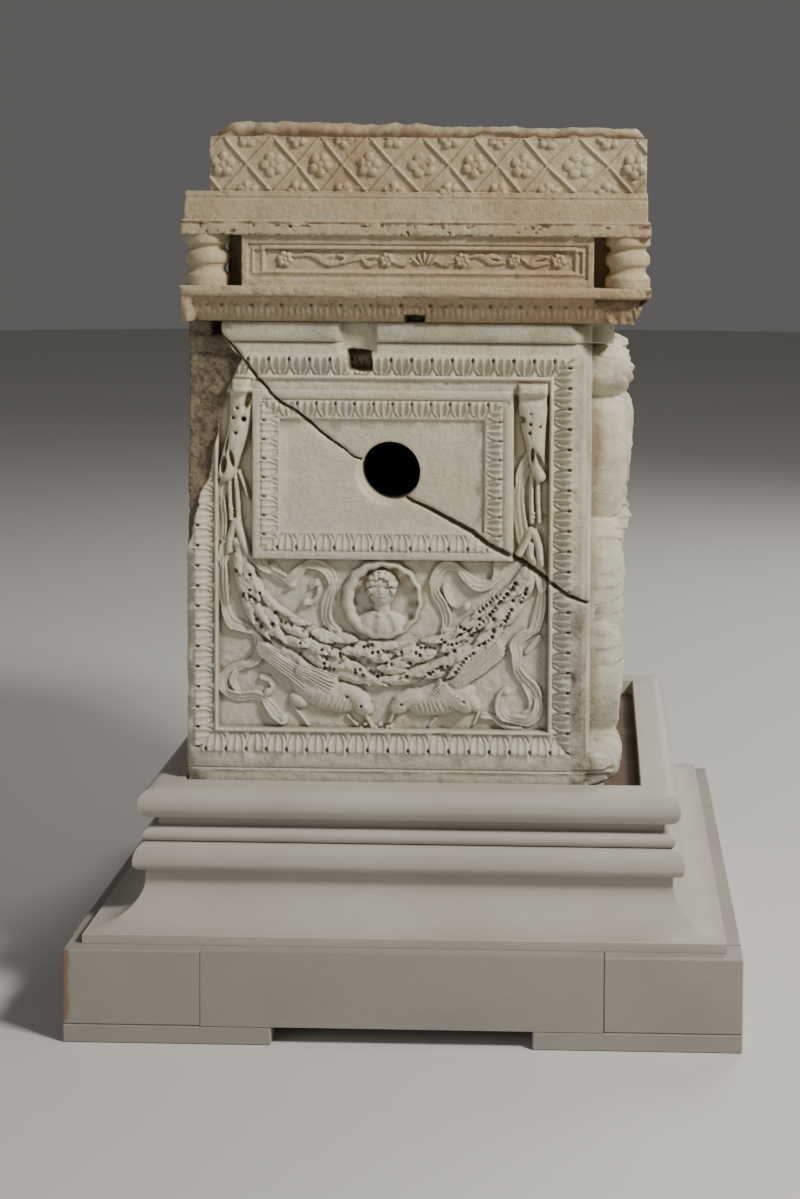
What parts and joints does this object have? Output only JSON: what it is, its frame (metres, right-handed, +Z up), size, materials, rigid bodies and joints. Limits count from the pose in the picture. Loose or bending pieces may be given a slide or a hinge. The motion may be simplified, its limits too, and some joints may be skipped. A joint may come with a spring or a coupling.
{
  "type": "carved marble ash chest with couch-shaped lid on a moulded plinth",
  "caption": "Roman marble ash chest with a garland and framed panel in relief, a broken couch-shaped lid that lifts off, and a moulded, painted wooden plinth.",
  "frame": {"origin": "on the ground, under the middle of the plinth", "axes": "+Z up, the carved front faces -Y, +X to the right of someone facing the front"},
  "size_m": [0.806, 0.763, 1.1007],
  "materials": {
    "marble": "matt, weathered white marble with brown stains",
    "painted_wood": "pale grey-pink paint, satin, worn at the corners",
    "bare_wood": "unpainted brown wood, matt"
  },
  "bodies": {
    "root": {"ash_chest": "marble", "couch_lid": "marble", "plinth_moulding": "painted_wood", "plinth_floor": "bare_wood", "plinth_apron_front": "painted_wood", "plinth_apron_back": "painted_wood", "plinth_side_left": "painted_wood", "plinth_side_right": "painted_wood", "plinth_corner_front_left": "painted_wood", "plinth_corner_front_right": "painted_wood", "plinth_corner_back_left": "painted_wood", "plinth_corner_back_right": "painted_wood", "plinth_foot_left": "painted_wood", "plinth_foot_right": "painted_wood"}
  },
  "joints": []
}
